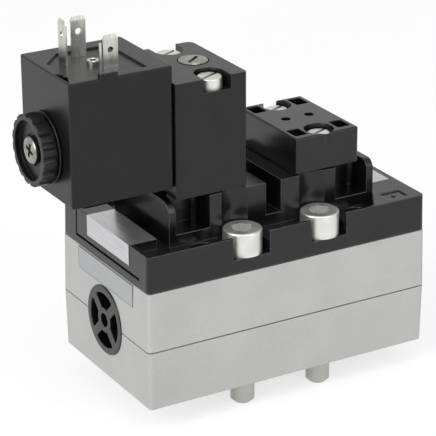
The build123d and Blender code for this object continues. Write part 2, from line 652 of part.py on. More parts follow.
# Pilot piston with the stub that holds it in the spool, and its seal
PISTON_SEAL_X = PISTON_X + PISTON_THICKNESS / 2
with BuildPart() as pilot_piston:
    add_round(PISTON_X, PISTON_X + PISTON_THICKNESS, BORE_Z, BORE_R - 2 * RUNNING_FIT)
    with BuildSketch(along_x(PISTON_SEAL_X - OUTER_SEAL_R, BORE_Z)):
        Circle(BORE_R)
        Circle(BORE_R - RUNNING_FIT - 2 * OUTER_SEAL_R, mode=Mode.SUBTRACT)
    extrude(amount=2 * OUTER_SEAL_R, mode=Mode.SUBTRACT)
    add_round(PISTON_X + PISTON_THICKNESS, PISTON_X + PISTON_THICKNESS + PISTON_STUB,
              BORE_Z, PISTON_STUB_R)
finish(pilot_piston, "pilot_piston")
with BuildPart() as piston_seal:
    with BuildSketch(Plane.XZ):
        with Locations((PISTON_SEAL_X, BORE_Z + BORE_R - RUNNING_FIT - OUTER_SEAL_R)):
            Circle(OUTER_SEAL_R)
    revolve(axis=Axis((0, 0, BORE_Z), (1, 0, 0)))
finish(piston_seal, "piston_seal")

# Return spring between the spool and the right end plug
SPRING_FROM = SPRING_SEAT_X + SPRING_WIRE_R
SPRING_SPAN = PLUG_INNER - SPRING_SEAT_X - 2 * SPRING_WIRE_R
with BuildPart() as return_spring:
    with BuildLine() as coil_line:
        Helix(SPRING_SPAN / SPRING_TURNS, SPRING_SPAN, SPRING_R,
              center=(SPRING_FROM, 0, BORE_Z), direction=(1, 0, 0))
    with BuildSketch(Plane(coil_line.line @ 0, z_dir=coil_line.line % 0)):
        Circle(SPRING_WIRE_R)
    sweep(path=coil_line.line, is_frenet=True)
finish(return_spring, "return_spring")

# Gaskets under the pilot block and under the blanking plate
for name, centre_x, left, right in (
    ("pilot_gasket", -PAD_X, PILOT_RIGHT, PILOT_RIGHT),
    ("blank_gasket", PAD_X, BLANK_LENGTH / 2, BLANK_LENGTH / 2),
):
    with BuildPart() as pad_gasket:
        with BuildSketch(Plane.XY.offset(PAD_TOP)):
            with Locations((centre_x, 0)):
                Rectangle(left + right - 1, 2 * PILOT_REAR - 1)
                with Locations((-PASSAGE_OFFSET, 0), (PASSAGE_OFFSET, 0)):
                    Circle(PASSAGE_R, mode=Mode.SUBTRACT)
                with Locations((0, -PAD_SCREW_Y), (0, PAD_SCREW_Y)):
                    Circle(PAD_HOLE_R, mode=Mode.SUBTRACT)
        extrude(amount=GASKET)
    finish(pad_gasket, name)

# Pilot block: screw notches, override bore, armature seat and passages
PILOT_X = (PILOT_X_MIN + PILOT_X_MAX) / 2
PILOT_Y = (PILOT_REAR - PILOT_FRONT) / 2
NOTCH_FLOOR = PILOT_TOP - NOTCH_DEPTH
OVERRIDE_FLOOR = AXIS_Z + PASSAGE_R + 0.4
RECESS_FLOOR = PILOT_TOP - OVERRIDE_RECESS_DEPTH
SEAT_X = ARMATURE_TIP
SEAT_R = 2.0
SEAT_LENGTH = 8.0
CHAMBER_R = 6.5
CHAMBER_DEPTH = 5.5
PIN_Z = AXIS_Z + PIN_OFFSET
with BuildPart() as pilot_body:
    with BuildSketch(Plane.XY.offset(BLOCK_BOTTOM)):
        with Locations((PILOT_X, PILOT_Y)):
            Rectangle(PILOT_X_MAX - PILOT_X_MIN, PILOT_FRONT + PILOT_REAR)
    extrude(amount=PILOT_HEIGHT)
    fillet(pilot_body.edges().filter_by(Axis.Z).sort_by(lambda edge: edge.center().X + edge.center().Y)[-1], 3)
    fillet(pilot_body.edges().filter_by(Axis.Z).sort_by(lambda edge: edge.center().X + edge.center().Y)[:-2], 1)
    for side in (-1, 1):
        with BuildSketch(Plane.XY.offset(NOTCH_FLOOR)):
            with Locations((-PAD_X, side * PAD_SCREW_Y)):
                Circle(NOTCH_R)
            with Locations((-PAD_X, side * (PAD_SCREW_Y + 5))):
                Rectangle(2 * NOTCH_R, 10)
        extrude(amount=NOTCH_DEPTH, mode=Mode.SUBTRACT)
    cut_upright([(-PAD_X, -PAD_SCREW_Y), (-PAD_X, PAD_SCREW_Y)], BLOCK_BOTTOM, NOTCH_FLOOR, PAD_HOLE_R)
    cut_upright([(OVERRIDE_X, 0)], RECESS_FLOOR, PILOT_TOP, OVERRIDE_RECESS_R)
    cut_upright([(OVERRIDE_X, 0)], OVERRIDE_FLOOR, PILOT_TOP, OVERRIDE_STEM_R + RUNNING_FIT)
    cut_round(PILOT_X_MIN, TUBE_MOUTH, AXIS_Z, TUBE_FLANGE_R)
    cut_round(TUBE_MOUTH, TUBE_MOUTH + CHAMBER_DEPTH, AXIS_Z, CHAMBER_R)
    cut_round(TUBE_MOUTH, SEAT_X + SEAT_LENGTH, AXIS_Z, SEAT_R)
    cut_round(TUBE_MOUTH, -PAD_X + PASSAGE_OFFSET, AXIS_Z, 1.0)
    cut_round(TUBE_MOUTH, OVERRIDE_X, PIN_Z, PIN_R + RUNNING_FIT)
    cut_upright([(-PAD_X + PASSAGE_OFFSET, 0)], BLOCK_BOTTOM, AXIS_Z + 1.0, PASSAGE_R)
    cut_straight((-PAD_X - PASSAGE_OFFSET, 0, BLOCK_BOTTOM),
                 (TUBE_MOUTH + 2.0, 0, AXIS_Z - CHAMBER_R + 1.5), PASSAGE_R)
finish(pilot_body, "pilot_body")

# Slotted screws of the pilot block and of the blanking plate
for name, centre_x, seat, head_r, rounding in (
    ("pilot_screws", -PAD_X, NOTCH_FLOOR, PAD_HEAD_R, 0.6),
    ("blank_screws", PAD_X, BLANK_TOP - BLANK_RECESS_DEPTH, PAD_HEAD_R + 0.3, 1.8),
):
    with BuildPart() as pad_screws:
        with BuildSketch(Plane.XY.offset(seat)):
            with Locations((centre_x, -PAD_SCREW_Y), (centre_x, PAD_SCREW_Y)):
                Circle(head_r)
        extrude(amount=PAD_HEAD_HEIGHT)
        fillet(pad_screws.edges().group_by(Axis.Z)[-1], rounding)
        with BuildSketch(Plane.XY.offset(seat)):
            with Locations((centre_x, -PAD_SCREW_Y), (centre_x, PAD_SCREW_Y)):
                Circle(PAD_SCREW_R)
        extrude(amount=PAD_TOP - PAD_SCREW_DEPTH - seat)
        chamfer(pad_screws.edges().group_by(Axis.Z)[0], 0.5)
        with BuildSketch(Plane.XY.offset(seat + PAD_HEAD_HEIGHT)):
            with Locations((centre_x, -PAD_SCREW_Y), (centre_x, PAD_SCREW_Y)):
                Rectangle(2 * head_r + 1, SLOT_WIDTH, rotation=25)
        extrude(amount=-SLOT_DEPTH, mode=Mode.SUBTRACT)
    finish(pad_screws, name)

# Manual override: slotted disc, stem with a flat at its foot, and its seal
CAM_TOP = PIN_Z + PIN_R + 1.2
OVERRIDE_SEAL_Z = (CAM_TOP + RECESS_FLOOR) / 2
with BuildPart() as manual_override:
    with BuildSketch(Plane.XY.offset(RECESS_FLOOR + OVERRIDE_LIFT)):
        with Locations((OVERRIDE_X, 0)):
            Circle(OVERRIDE_HEAD_R)
    extrude(amount=OVERRIDE_TOP - RECESS_FLOOR - OVERRIDE_LIFT)
    chamfer(manual_override.edges().group_by(Axis.Z)[-1], 0.3)
    with BuildSketch(Plane.XY.offset(CAM_TOP)):
        with Locations((OVERRIDE_X, 0)):
            Circle(OVERRIDE_STEM_R)
    extrude(amount=RECESS_FLOOR + 0.1 - CAM_TOP)
    with BuildSketch(Plane.XY.offset(OVERRIDE_FLOOR + 0.1)):
        with Locations((OVERRIDE_X, 0)):
            Circle(CAM_R)
            with Locations((-CAM_R, 0)):
                Rectangle(2 * (CAM_R - CAM_FLAT), 2 * CAM_R, mode=Mode.SUBTRACT)
    extrude(amount=CAM_TOP - OVERRIDE_FLOOR - 0.1)
    with BuildSketch(Plane.XY.offset(OVERRIDE_SEAL_Z - 0.8)):
        with Locations((OVERRIDE_X, 0)):
            Circle(OVERRIDE_STEM_R + 1)
            Circle(OVERRIDE_STEM_R - 1.6, mode=Mode.SUBTRACT)
    extrude(amount=1.6, mode=Mode.SUBTRACT)
    with BuildSketch(Plane.XY.offset(OVERRIDE_TOP)):
        with Locations((OVERRIDE_X, 0)):
            Rectangle(OVERRIDE_SLOT_LENGTH, OVERRIDE_SLOT, rotation=37)
    extrude(amount=-OVERRIDE_SLOT_DEPTH, mode=Mode.SUBTRACT)
finish(manual_override, "manual_override")
with BuildPart() as override_seal:
    with BuildSketch(Plane.XZ):
        with Locations((OVERRIDE_X + OVERRIDE_STEM_R - 0.8, OVERRIDE_SEAL_Z)):
            Circle(0.8)
    revolve(axis=Axis((OVERRIDE_X, 0, 0), (0, 0, 1)))
finish(override_seal, "override_seal")

# Push pin between the override and the armature
PIN_END = OVERRIDE_X - CAM_R - 0.3
with BuildPart() as push_pin:
    add_round(ARMATURE_TIP, PIN_END, PIN_Z, PIN_R)
    fillet(push_pin.edges().sort_by(Axis.X)[-1], 0.4)
finish(push_pin, "push_pin")

# Valve seat: nozzle with a raised lip towards the armature
with BuildPart() as valve_seat:
    add_round(SEAT_X, SEAT_X + SEAT_LENGTH, AXIS_Z, SEAT_R)
    chamfer(valve_seat.edges().filter_by(GeomType.CIRCLE).sort_by(Axis.X)[0], 0.8)
    cut_round(SEAT_X, SEAT_X + SEAT_LENGTH, AXIS_Z, 0.8)
finish(valve_seat, "valve_seat")

# Armature tube with its flange, and the fixed core that closes it
with BuildPart() as armature_tube:
    add_round(PILOT_X_MIN, TUBE_MOUTH, AXIS_Z, TUBE_FLANGE_R)
    add_round(TUBE_STEP, PILOT_X_MIN, AXIS_Z, TUBE_R)
    cut_round(TUBE_STEP, TUBE_MOUTH, AXIS_Z, TUBE_BORE_R)
finish(armature_tube, "armature_tube")
with BuildPart() as fixed_core:
    add_round(TUBE_TIP, TUBE_STEP, AXIS_Z, TUBE_R)
    chamfer(fixed_core.edges().filter_by(GeomType.CIRCLE).sort_by(Axis.X)[0], 0.4)
    add_round(TUBE_STEP, CORE_FACE, AXIS_Z, TUBE_BORE_R)
    with BuildSketch(along_x(TUBE_TIP, AXIS_Z)):
        Rectangle(6, 1.5, rotation=18)
        Rectangle(1.5, 6, rotation=18)
    extrude(amount=1.5, mode=Mode.SUBTRACT)
finish(fixed_core, "fixed_core")

# Armature with a bore for its spring, and the spring between it and the core
ARMATURE_SPRING_R = 2.0
ARMATURE_WIRE_R = 0.3
ARMATURE_BORE = 8.0
ARMATURE_TURNS = 5
with BuildPart() as armature:
    add_round(ARMATURE_TAIL, ARMATURE_TIP, AXIS_Z, TUBE_BORE_R - RUNNING_FIT)
    chamfer(armature.edges().filter_by(GeomType.CIRCLE), 0.3)
    cut_round(ARMATURE_TAIL, ARMATURE_TAIL + ARMATURE_BORE, AXIS_Z, ARMATURE_SPRING_R + 0.6)
finish(armature, "armature")
with BuildPart() as armature_spring:
    spring_span = ARMATURE_TAIL + ARMATURE_BORE - CORE_FACE - 2 * ARMATURE_WIRE_R
    with BuildLine() as coil_line:
        Helix(spring_span / ARMATURE_TURNS, spring_span, ARMATURE_SPRING_R,
              center=(CORE_FACE + ARMATURE_WIRE_R, 0, AXIS_Z), direction=(1, 0, 0))
    with BuildSketch(Plane(coil_line.line @ 0, z_dir=coil_line.line % 0)):
        Circle(ARMATURE_WIRE_R)
    sweep(path=coil_line.line, is_frenet=True)
finish(armature_spring, "armature_spring")

# Magnet yoke: bracket round the winding, and the winding on its bobbin
YOKE_INNER = WINDING_LENGTH / 2 + BOBBIN_FLANGE
YOKE_OUTER = YOKE_INNER + YOKE_THICKNESS
YOKE_BOTTOM = AXIS_Z - BOBBIN_FLANGE_R - 0.2 - YOKE_THICKNESS
with BuildPart() as magnet_yoke:
    with BuildSketch(Plane.XZ):
        with Locations((COIL_X, (YOKE_BOTTOM + AXIS_Z + YOKE_RISE) / 2)):
            Rectangle(2 * YOKE_OUTER, AXIS_Z + YOKE_RISE - YOKE_BOTTOM)
            with Locations((0, YOKE_THICKNESS)):
                Rectangle(2 * YOKE_INNER, AXIS_Z + YOKE_RISE - YOKE_BOTTOM, mode=Mode.SUBTRACT)
    extrude(amount=YOKE_WIDTH / 2, both=True)
    cut_round(COIL_X_MIN, COIL_X_MAX, AXIS_Z, TUBE_R + 0.15)
finish(magnet_yoke, "magnet_yoke")
with BuildPart() as coil_winding:
    add_round(COIL_X - YOKE_INNER, COIL_X + YOKE_INNER, AXIS_Z, BOBBIN_BARREL_R)
    for end in (-1, 1):
        add_round(COIL_X + end * YOKE_INNER, COIL_X + end * WINDING_LENGTH / 2, AXIS_Z, BOBBIN_FLANGE_R)
    add_round(COIL_X - WINDING_LENGTH / 2, COIL_X + WINDING_LENGTH / 2, AXIS_Z, BOBBIN_FLANGE_R - 0.6)
    cut_round(COIL_X_MIN, COIL_X_MAX, AXIS_Z, TUBE_R + 0.15)
finish(coil_winding, "coil_winding")

# Contact blades: tapered tips with a round hole, roots moulded into the coil
BLADE_BEVEL = 1.6
blades = []
for name, place, rise, turned in (
    ("front_blade", FRONT_BLADE, FRONT_BLADE_RISE, False),
    ("rear_blade", REAR_BLADE, REAR_BLADE_RISE, False),
    ("earth_blade", EARTH_BLADE, EARTH_BLADE_RISE, True),
):
    with BuildPart() as blade:
        across = (0, 1, 0) if turned else (1, 0, 0)
        facing = (1, 0, 0) if turned else (0, -1, 0)
        face = Plane((COIL_X + place[0], place[1], COIL_TOP), x_dir=across, z_dir=facing)
        with BuildSketch(face):
            with BuildLine():
                Polyline(
                    (-BLADE_WIDTH / 2, -BLADE_ROOT),
                    (BLADE_WIDTH / 2, -BLADE_ROOT),
                    (BLADE_WIDTH / 2, rise - BLADE_BEVEL),
                    (BLADE_WIDTH / 2 - BLADE_CORNER, rise),
                    (BLADE_CORNER - BLADE_WIDTH / 2, rise),
                    (-BLADE_WIDTH / 2, rise - BLADE_BEVEL),
                    close=True,
                )
            make_face()
            if name == "front_blade":
                with Locations((-LUG_OFFSET, (LUG_RISE - BLADE_ROOT) / 2)):
                    Rectangle(1.0, LUG_RISE + BLADE_ROOT)
                with Locations((-LUG_OFFSET / 2, -BLADE_ROOT + 1)):
                    Rectangle(LUG_OFFSET, 2)
            with Locations((0, rise - 6.0)):
                Circle(BLADE_HOLE_R, mode=Mode.SUBTRACT)
        extrude(amount=BLADE_THICKNESS / 2, both=True)
        tip = blade.edges().group_by(Axis.Z)[-1].filter_by(Axis.Y if turned else Axis.X)
        chamfer(tip, BLADE_THICKNESS * 0.35, BLADE_BEVEL)
    finish(blade, name)
    blades.append(blade.part)

# Thread insert for the connector's screw
with BuildPart() as thread_insert:
    with BuildSketch(Plane.XY.offset(COIL_TOP - INSERT_DEPTH)):
        with Locations(INSERT_PLACE):
            Circle(INSERT_R)
            Circle(INSERT_BORE_R, mode=Mode.SUBTRACT)
    extrude(amount=INSERT_DEPTH + INSERT_PROUD)
    chamfer(thread_insert.edges().group_by(Axis.Z)[-1], 0.2)
finish(thread_insert, "thread_insert")

# Coil: overmoulded box with the contact recess, a tab and a corner pocket on top
RECESS_X_MIN = COIL_X_MIN + RECESS_LEFT
RECESS_X_MAX = COIL_X_MAX - RECESS_RIGHT
RECESS_Y_MIN = RECESS_FRONT - COIL_WIDTH / 2
RECESS_Y_MAX = COIL_WIDTH / 2 - RECESS_REAR
with BuildPart() as coil_body:
    with BuildSketch(Plane.XY.offset(COIL_BOTTOM)):
        with Locations((COIL_X, 0)):
            RectangleRounded(COIL_LENGTH, COIL_WIDTH, COIL_ROUND)
    extrude(amount=COIL_HEIGHT)
    fillet(coil_body.faces().sort_by(Axis.Z)[-1].edges(), 0.5)
    with BuildSketch(Plane.XY.offset(COIL_TOP - CONTACT_RECESS)):
        with BuildLine():
            Polyline(
                (RECESS_X_MIN, RECESS_Y_MIN + FRONT_CORNER[1]),
                (RECESS_X_MIN + FRONT_CORNER[0], RECESS_Y_MIN),
                (RECESS_X_MAX, RECESS_Y_MIN),
                (RECESS_X_MAX, RECESS_Y_MAX),
                (RECESS_X_MIN + REAR_CORNER[0], RECESS_Y_MAX),
                (RECESS_X_MIN, RECESS_Y_MAX - REAR_CORNER[1]),
                close=True,
            )
        make_face()
    extrude(amount=CONTACT_RECESS, mode=Mode.SUBTRACT)
    with BuildSketch(Plane.XY.offset(COIL_TOP - 4)):
        with BuildLine():
            Polyline(
                (COIL_X_MIN + 0.8, 14.35 - COIL_WIDTH / 2),
                (COIL_X_MIN + 4.7, 10.85 - COIL_WIDTH / 2),
                (COIL_X_MIN + 0.8, 1.75 - COIL_WIDTH / 2),
                close=True,
            )
        make_face()
    extrude(amount=4, mode=Mode.SUBTRACT)
    with BuildSketch(Plane.XY.offset(COIL_TOP - 1)):
        with Locations((COIL_X + TAB_OFFSET, (TAB_DEPTH - COIL_WIDTH) / 2)):
            Rectangle(TAB_LENGTH, TAB_DEPTH)
    extrude(amount=1 + TAB_RISE)
    cut_round(COIL_X_MIN, COIL_X_MAX, AXIS_Z, TUBE_R + 0.15)
    add(magnet_yoke.part, mode=Mode.SUBTRACT)
    add(coil_winding.part, mode=Mode.SUBTRACT)
    add(blades, mode=Mode.SUBTRACT)
    cut_upright([INSERT_PLACE], COIL_TOP - INSERT_DEPTH, COIL_TOP + 1, INSERT_R)
finish(coil_body, "coil_body")

# Coil nut: fluted ring with a dished face, a neck and a thin flange
with BuildPart() as coil_nut:
    add_round(NUT_FRONT, NUT_BACK, AXIS_Z, NUT_R)
    fillet(coil_nut.edges().filter_by(GeomType.CIRCLE).sort_by(Axis.X)[0], 0.5)
    with BuildSketch(along_x(NUT_BACK - NUT_FLANGE - NUT_GROOVE, AXIS_Z)):
        Circle(NUT_R + 1)
        Circle(NUT_DISH_R, mode=Mode.SUBTRACT)
    extrude(amount=NUT_GROOVE, mode=Mode.SUBTRACT)
    with BuildSketch(along_x(NUT_FRONT - 1, AXIS_Z)):
        with PolarLocations(NUT_R + 0.9, NUT_FLUTES):
            Circle(NUT_FLUTE_R)
    extrude(amount=NUT_LENGTH + 1 - NUT_FLANGE - NUT_GROOVE, mode=Mode.SUBTRACT)
    cut_round(NUT_FRONT, NUT_FRONT + NUT_DISH_DEPTH, AXIS_Z, NUT_DISH_R - 0.3)
    cut_round(NUT_FRONT, NUT_FRONT + NUT_DISH_DEPTH + 0.8, AXIS_Z, NUT_MOUTH_R)
    cut_round(NUT_FRONT, NUT_BACK, AXIS_Z, NUT_BORE_R)
finish(coil_nut, "coil_nut")

# Flat seal between the nut and the coil
with BuildPart() as nut_seal:
    add_round(NUT_BACK, COIL_X_MIN, AXIS_Z, NUT_DISH_R)
    cut_round(NUT_BACK, COIL_X_MIN, AXIS_Z, TUBE_R + 0.1)
finish(nut_seal, "nut_seal")

# Blanking plate: low block with two screw recesses, four pockets and two holes
BLANK_X = PAD_X + BLANK_SHIFT
with BuildPart() as blanking_plate:
    with BuildSketch(Plane.XY.offset(BLOCK_BOTTOM)):
        with Locations((BLANK_X, PILOT_Y)):
            RectangleRounded(BLANK_LENGTH, PILOT_FRONT + PILOT_REAR, 1)
    extrude(amount=BLANK_HEIGHT)
    fillet(blanking_plate.faces().sort_by(Axis.Z)[-1].edges(), 0.8)
    BLANK_SEAT = BLANK_TOP - BLANK_RECESS_DEPTH
    for side in (-1, 1):
        cut_upright([(PAD_X, side * PAD_SCREW_Y)], BLANK_SEAT, BLANK_TOP, BLANK_RECESS_R)
        cut_upright([(PAD_X, side * PAD_SCREW_Y)], BLOCK_BOTTOM, BLANK_SEAT, PAD_HOLE_R)
    with BuildSketch(Plane.XY.offset(BLANK_TOP - BLANK_POCKET_DEPTH)):
        with Locations(*[(PAD_X + x, y) for x, y in four(BLANK_POCKET_X, BLANK_POCKET_Y)]):
            RectangleRounded(BLANK_POCKET_LENGTH, BLANK_POCKET_WIDTH, 1)
    extrude(amount=BLANK_POCKET_DEPTH, mode=Mode.SUBTRACT)
    cut_upright([(PAD_X - BLANK_HOLE_X, 0), (PAD_X + BLANK_HOLE_X, 0)], BLANK_TOP - BLANK_HOLE_DEPTH,
                BLANK_TOP, BLANK_HOLE_R)
finish(blanking_plate, "blanking_plate")

# Bare labels: one folded over the cover's left edge, one on its right end, one on the casting
FOLDED_LABEL_X = (FOLDED_LABEL_EDGE - TOP_LENGTH / 2, -PLATEAU_END - FOLDED_LABEL_GAP)
COVER_LABEL_X = (TOWER_HALF_LENGTH + COVER_LABEL_MARGIN, TOP_LENGTH / 2 - COVER_LABEL_MARGIN)
LABEL_TOP = COVER_TOP + LABEL_THICKNESS
with BuildPart() as folded_label:
    with BuildSketch(Plane.XY.offset(COVER_TOP)):
        with Locations((sum(FOLDED_LABEL_X) / 2, sum(FOLDED_LABEL_Y) / 2)):
            Rectangle(FOLDED_LABEL_X[1] - FOLDED_LABEL_X[0], FOLDED_LABEL_Y[1] - FOLDED_LABEL_Y[0])
    extrude(amount=LABEL_THICKNESS)
    with BuildSketch(along_x(-TOP_LENGTH / 2 - 0.1, LABEL_TOP)):
        with Locations((sum(FOLDED_LABEL_Y) / 2, -FOLDED_LABEL_DROP / 2)):
            Rectangle(FOLDED_LABEL_Y[1] - FOLDED_LABEL_Y[0], FOLDED_LABEL_DROP)
    extrude(amount=FOLDED_LABEL_EDGE + 0.1)
    add(top_cover.part, mode=Mode.SUBTRACT)
finish(folded_label, "folded_label")
with BuildPart() as cover_label:
    with BuildSketch(Plane.XY.offset(COVER_TOP)):
        with Locations((sum(COVER_LABEL_X) / 2, sum(COVER_LABEL_Y) / 2)):
            Rectangle(COVER_LABEL_X[1] - COVER_LABEL_X[0], COVER_LABEL_Y[1] - COVER_LABEL_Y[0])
    extrude(amount=LABEL_THICKNESS)
finish(cover_label, "cover_label")
with BuildPart() as body_label:
    with BuildSketch(along_x(-HALF_LENGTH + LABEL_THICKNESS, UPPER_TOP - BODY_LABEL_MARGIN)):
        with Locations((sum(BODY_LABEL_Y) / 2, -BODY_LABEL_HEIGHT / 2)):
            Rectangle(BODY_LABEL_Y[1] - BODY_LABEL_Y[0], BODY_LABEL_HEIGHT)
    extrude(amount=0.6)
    add(upper_body.part, mode=Mode.SUBTRACT)
finish(body_label, "body_label")
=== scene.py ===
import math

import bpy
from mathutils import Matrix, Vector


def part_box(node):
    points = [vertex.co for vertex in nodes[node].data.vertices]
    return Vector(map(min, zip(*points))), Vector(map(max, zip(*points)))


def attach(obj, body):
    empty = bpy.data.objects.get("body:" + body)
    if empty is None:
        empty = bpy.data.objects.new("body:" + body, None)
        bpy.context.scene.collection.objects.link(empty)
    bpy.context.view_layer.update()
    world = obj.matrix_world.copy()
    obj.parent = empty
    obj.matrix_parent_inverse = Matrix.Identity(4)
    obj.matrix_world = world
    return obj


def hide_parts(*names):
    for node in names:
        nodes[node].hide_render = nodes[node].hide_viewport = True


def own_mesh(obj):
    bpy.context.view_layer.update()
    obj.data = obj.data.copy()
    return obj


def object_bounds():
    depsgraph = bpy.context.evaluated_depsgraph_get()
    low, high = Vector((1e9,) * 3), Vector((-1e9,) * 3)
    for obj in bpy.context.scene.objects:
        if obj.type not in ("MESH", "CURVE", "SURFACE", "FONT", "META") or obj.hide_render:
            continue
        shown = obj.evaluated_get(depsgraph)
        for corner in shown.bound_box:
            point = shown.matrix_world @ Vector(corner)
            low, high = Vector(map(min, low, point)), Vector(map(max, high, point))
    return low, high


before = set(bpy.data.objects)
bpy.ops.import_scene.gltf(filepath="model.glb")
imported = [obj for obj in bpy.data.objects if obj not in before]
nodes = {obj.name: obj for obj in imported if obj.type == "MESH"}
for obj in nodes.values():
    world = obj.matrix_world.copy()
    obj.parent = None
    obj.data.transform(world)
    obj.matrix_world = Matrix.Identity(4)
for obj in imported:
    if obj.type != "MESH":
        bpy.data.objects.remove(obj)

cad_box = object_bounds()

# Lower and upper casting
# Die-cast aluminium, blasted with fine beads after trimming: pale, even and matt,
# with a speckle of about half a millimetre and a faint cloudiness where the metal met.
# A noise's scale, here and below, is 1000 over its grain in millimetres


def linear(code):
    """Linear colour of an sRGB hex code."""
    parts = [int(code[i:i + 2], 16) / 255 for i in (1, 3, 5)]
    return [c / 12.92 if c <= 0.04045 else ((c + 0.055) / 1.055) ** 2.4 for c in parts] + [1.0]


def add_node(tree, kind, inputs=None, stops=None, **settings):
    """Add a node, set its properties and colour stops, and set or link its inputs."""
    made = tree.nodes.new(kind)
    for name, value in settings.items():
        setattr(made, name, value)
    for element, (position, code) in zip(made.color_ramp.elements if stops else (), stops or ()):
        element.position = position
        element.color = linear(code)
    for name, value in (inputs or {}).items():
        if isinstance(value, bpy.types.NodeSocket):
            tree.links.new(value, made.inputs[name])
        else:
            made.inputs[name].default_value = value
    return made


def new_finish(name, **sockets):
    """A material with its tree, its shader and its coordinates in metres."""
    made = bpy.data.materials.new(name)
    made.use_nodes = True
    shader = made.node_tree.nodes["Principled BSDF"]
    for socket, value in sockets.items():
        shader.inputs[socket.replace("_", " ")].default_value = value
    place = add_node(made.node_tree, "ShaderNodeTexCoord").outputs["Object"]
    return made, made.node_tree, shader, place


def dress(material, *names):
    """Give CAD nodes their material."""
    for name in names:
        nodes[name].data.materials.clear()
        nodes[name].data.materials.append(material)


blasted, tree, shader, place = new_finish("bead_blasted_die_cast_aluminium", Metallic=0.55, Roughness=0.6)
cloud = add_node(tree, "ShaderNodeTexNoise", {"Vector": place, "Scale": 1000 / 20, "Detail": 3})
speckle = add_node(tree, "ShaderNodeTexNoise", {
    "Vector": place, "Scale": 1000 / 0.6, "Detail": 3, "Roughness": 0.6})
base = add_node(tree, "ShaderNodeValToRGB", {"Fac": cloud.outputs["Fac"]},
                [(0.35, "#B0B1AF"), (0.65, "#B6B7B5")])
grain = add_node(tree, "ShaderNodeValToRGB", {"Fac": speckle.outputs["Fac"]},
                 [(0.3, "#A6A7A5"), (0.7, "#C0C1BF")])
mixed = add_node(tree, "ShaderNodeMix", {
    "Factor": 0.35, 6: base.outputs["Color"], 7: grain.outputs["Color"]}, data_type="RGBA")
tree.links.new(mixed.outputs[2], shader.inputs["Base Color"])
pits = add_node(tree, "ShaderNodeBump", {
    "Height": speckle.outputs["Fac"], "Distance": 0.00003, "Strength": 0.5})
tree.links.new(pits.outputs["Normal"], shader.inputs["Normal"])
dress(blasted, "lower_body", "upper_body")

# Gaskets and seals
# Moulded nitrile rubber: dull black, with a slight bloom in patches of a few millimetres
# and a fine tooth from the mould
rubber, tree, shader, place = new_finish("nitrile_rubber", Roughness=0.75)
bloom = add_node(tree, "ShaderNodeTexNoise", {"Vector": place, "Scale": 1000 / 4, "Detail": 3})
base = add_node(tree, "ShaderNodeValToRGB", {"Fac": bloom.outputs["Fac"]},
                [(0.35, "#111111"), (0.65, "#1A1A1A")])
tree.links.new(base.outputs["Color"], shader.inputs["Base Color"])
tooth = add_node(tree, "ShaderNodeTexNoise", {"Vector": place, "Scale": 1000 / 0.4})
relief = add_node(tree, "ShaderNodeBump", {
    "Height": tooth.outputs["Fac"], "Distance": 0.00002, "Strength": 0.5})
tree.links.new(relief.outputs["Normal"], shader.inputs["Normal"])
dress(rubber, "base_gasket", "body_gasket", "cover_gasket", "plug_seals", "inner_seals", "outer_seals",
      "piston_seal", "pilot_gasket", "blank_gasket", "override_seal", "nut_seal")

# Sleeve, spool and pilot piston
# Turned aluminium, hard anodised: smooth grey and slightly cloudy. The rings of the
# turning tool are too fine to show, so they are drawn about 1.3 mm apart. The bands of
# a wave, here and in the winding, are 314 mm over its scale apart
anodised, tree, shader, place = new_finish("hard_anodised_aluminium", Metallic=1.0, Roughness=0.35)
cloud = add_node(tree, "ShaderNodeTexNoise", {"Vector": place, "Scale": 1000 / 6, "Detail": 3})
base = add_node(tree, "ShaderNodeValToRGB", {"Fac": cloud.outputs["Fac"]},
                [(0.35, "#8A8C8E"), (0.65, "#9C9FA1")])
tree.links.new(base.outputs["Color"], shader.inputs["Base Color"])
rings = add_node(tree, "ShaderNodeTexWave", {"Vector": place, "Scale": 250, "Distortion": 0.3},
                 wave_type="BANDS", bands_direction="X")
relief = add_node(tree, "ShaderNodeBump", {
    "Height": rings.outputs["Fac"], "Distance": 0.000005, "Strength": 0.5})
tree.links.new(relief.outputs["Normal"], shader.inputs["Normal"])
dress(anodised, "valve_sleeve", "spool", "pilot_piston")

# Return spring and armature spring
# Drawn spring steel wire, wound open and lightly oiled: dark, smooth metal with patches
# of oil. Each stands on a fixed seat
drawn, tree, shader, place = new_finish("drawn_spring_steel", Metallic=1.0)
oil = add_node(tree, "ShaderNodeTexNoise", {"Vector": place, "Scale": 1000 / 3, "Detail": 3})
base = add_node(tree, "ShaderNodeValToRGB", {"Fac": oil.outputs["Fac"]},
                [(0.35, "#6E6E6C"), (0.65, "#8C8C8A")])
tree.links.new(base.outputs["Color"], shader.inputs["Base Color"])
gloss = add_node(tree, "ShaderNodeMapRange", {
    "Value": oil.outputs["Fac"], "From Min": 0.3, "From Max": 0.7, "To Min": 0.22, "To Max": 0.36})
tree.links.new(gloss.outputs["Result"], shader.inputs["Roughness"])
spool_travel, armature_travel = 0.005, 0.001
for name, joint, travel, seat_side in (
    ("return_spring", "spool_shift", spool_travel, "right"),
    ("armature_spring", "armature_lift", armature_travel, "left"),
):
    dress(drawn, name)
    wire = bpy.data.objects.new(name + "_wire", nodes[name].data.copy())
    bpy.context.scene.collection.objects.link(wire)
    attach(wire, "valve_base")
    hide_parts(name)
    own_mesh(wire)
